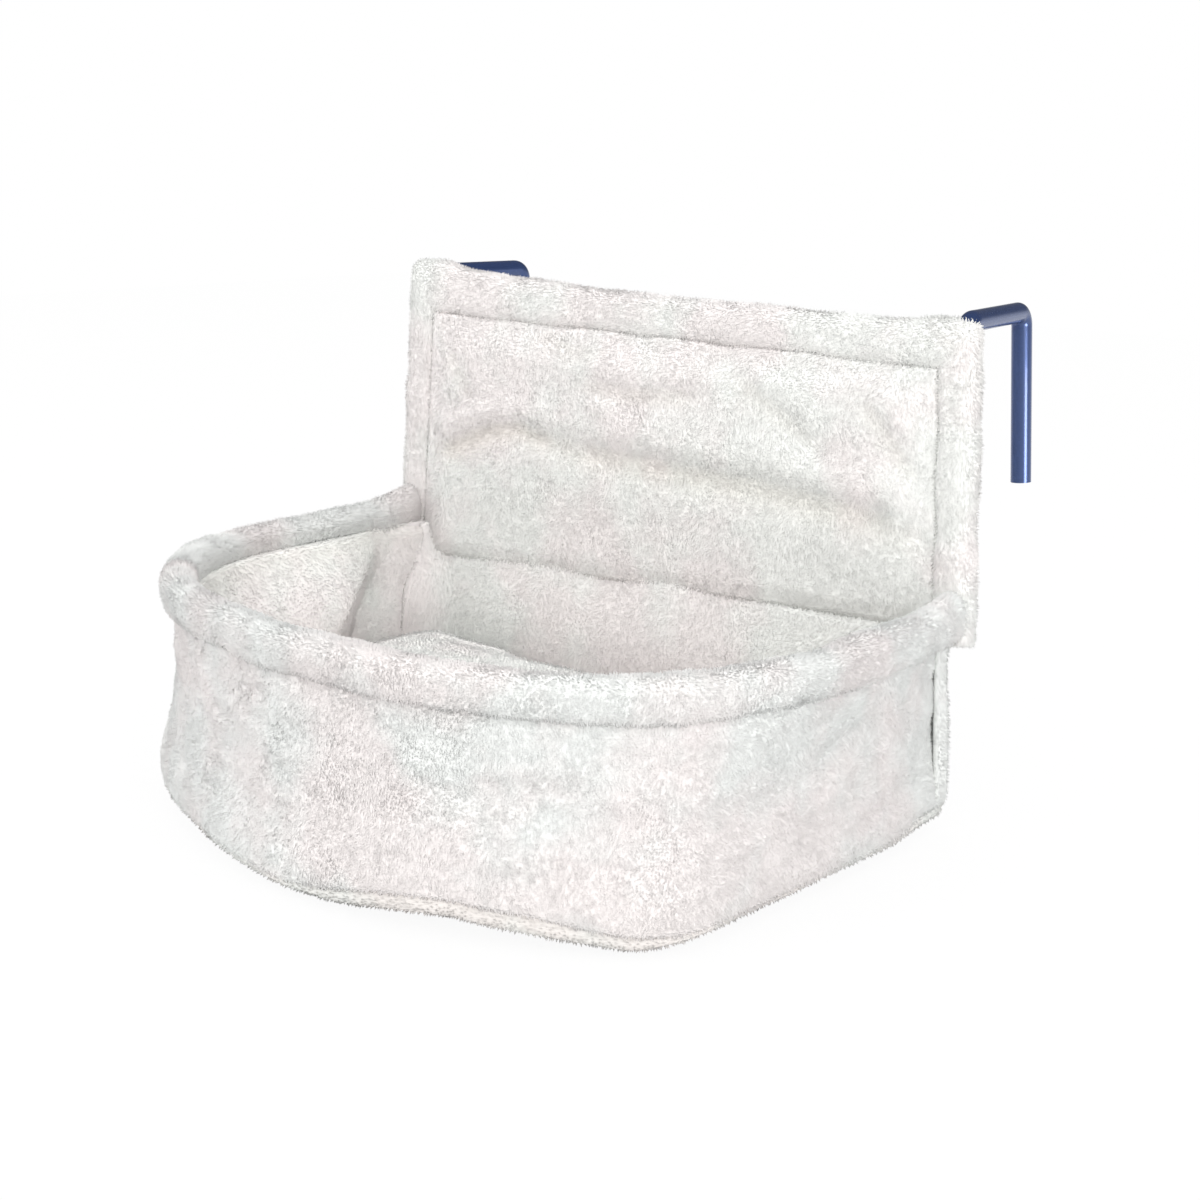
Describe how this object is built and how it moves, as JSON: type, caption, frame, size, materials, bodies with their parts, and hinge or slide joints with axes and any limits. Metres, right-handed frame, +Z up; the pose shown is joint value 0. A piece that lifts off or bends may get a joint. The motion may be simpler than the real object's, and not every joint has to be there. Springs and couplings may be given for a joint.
{
  "type": "radiator cat bed",
  "caption": "Plush cat bed that hangs on a radiator: a padded D-shaped basket and back panel over a bent steel tube frame with two hooks.",
  "frame": {"origin": "under the middle of the whole bed, at the height of its underside", "axes": "+Z up, +X to the right for someone who faces the bed, +Y back towards the radiator"},
  "size_m": [0.45, 0.409, 0.2956],
  "materials": {
    "blue_tube": "glossy deep blue powder coat on round steel tube",
    "bright_steel": "zinc-plated spring steel",
    "plush": "off-white short-pile plush",
    "fibre_filling": "white polyester fibre wadding",
    "closure_tape": "white hook-and-loop tape",
    "hardboard": "plain pressed hardboard"
  },
  "bodies": {
    "frame_and_cover": {"left_hanger_tube": "blue_tube", "right_hanger_tube": "blue_tube", "crossbar_tube": "blue_tube", "front_hoop_tube": "blue_tube", "panel_sleeve": "plush", "rim_sleeve": "plush", "outer_wall_plush": "plush", "wall_lining": "plush", "back_wall_plush": "plush", "back_wall_lining": "plush", "panel_back_plush": "plush", "panel_front_plush": "plush", "base_plush": "plush", "floor_lining": "plush", "wall_filling": "fibre_filling", "back_wall_filling": "fibre_filling", "panel_filling": "fibre_filling", "base_filling": "fibre_filling", "hook_strip": "closure_tape", "loop_strip": "closure_tape", "base_board": "hardboard", "left_hoop_spring": "bright_steel", "left_crossbar_spring": "bright_steel", "right_hoop_spring": "bright_steel", "right_crossbar_spring": "bright_steel"},
    "floor_pad": {"pad_top_cloth": "plush", "pad_bottom_cloth": "plush", "pad_filling": "fibre_filling"},
    "left_hoop_snap": {"left_hoop_button": "bright_steel"},
    "left_crossbar_snap": {"left_crossbar_button": "bright_steel"},
    "right_hoop_snap": {"right_hoop_button": "bright_steel"},
    "right_crossbar_snap": {"right_crossbar_button": "bright_steel"}
  },
  "joints": [
    {"name": "pad_lift", "type": "slide", "parent": "frame_and_cover", "child": "floor_pad", "axis": [0, 0, 1], "range_m": [0, 0.13]},
    {"name": "left_hoop_press", "type": "slide", "parent": "frame_and_cover", "child": "left_hoop_snap", "axis": [1, 0, 0], "range_m": [0, 0.0025], "stiffness_N_per_m": 400, "springref_m": -0.002},
    {"name": "left_crossbar_press", "type": "slide", "parent": "frame_and_cover", "child": "left_crossbar_snap", "axis": [0, -1, 0], "range_m": [0, 0.0025], "stiffness_N_per_m": 400, "springref_m": -0.002},
    {"name": "right_hoop_press", "type": "slide", "parent": "frame_and_cover", "child": "right_hoop_snap", "axis": [-1, 0, 0], "range_m": [0, 0.0025], "stiffness_N_per_m": 400, "springref_m": -0.002},
    {"name": "right_crossbar_press", "type": "slide", "parent": "frame_and_cover", "child": "right_crossbar_snap", "axis": [0, -1, 0], "range_m": [0, 0.0025], "stiffness_N_per_m": 400, "springref_m": -0.002}
  ]
}
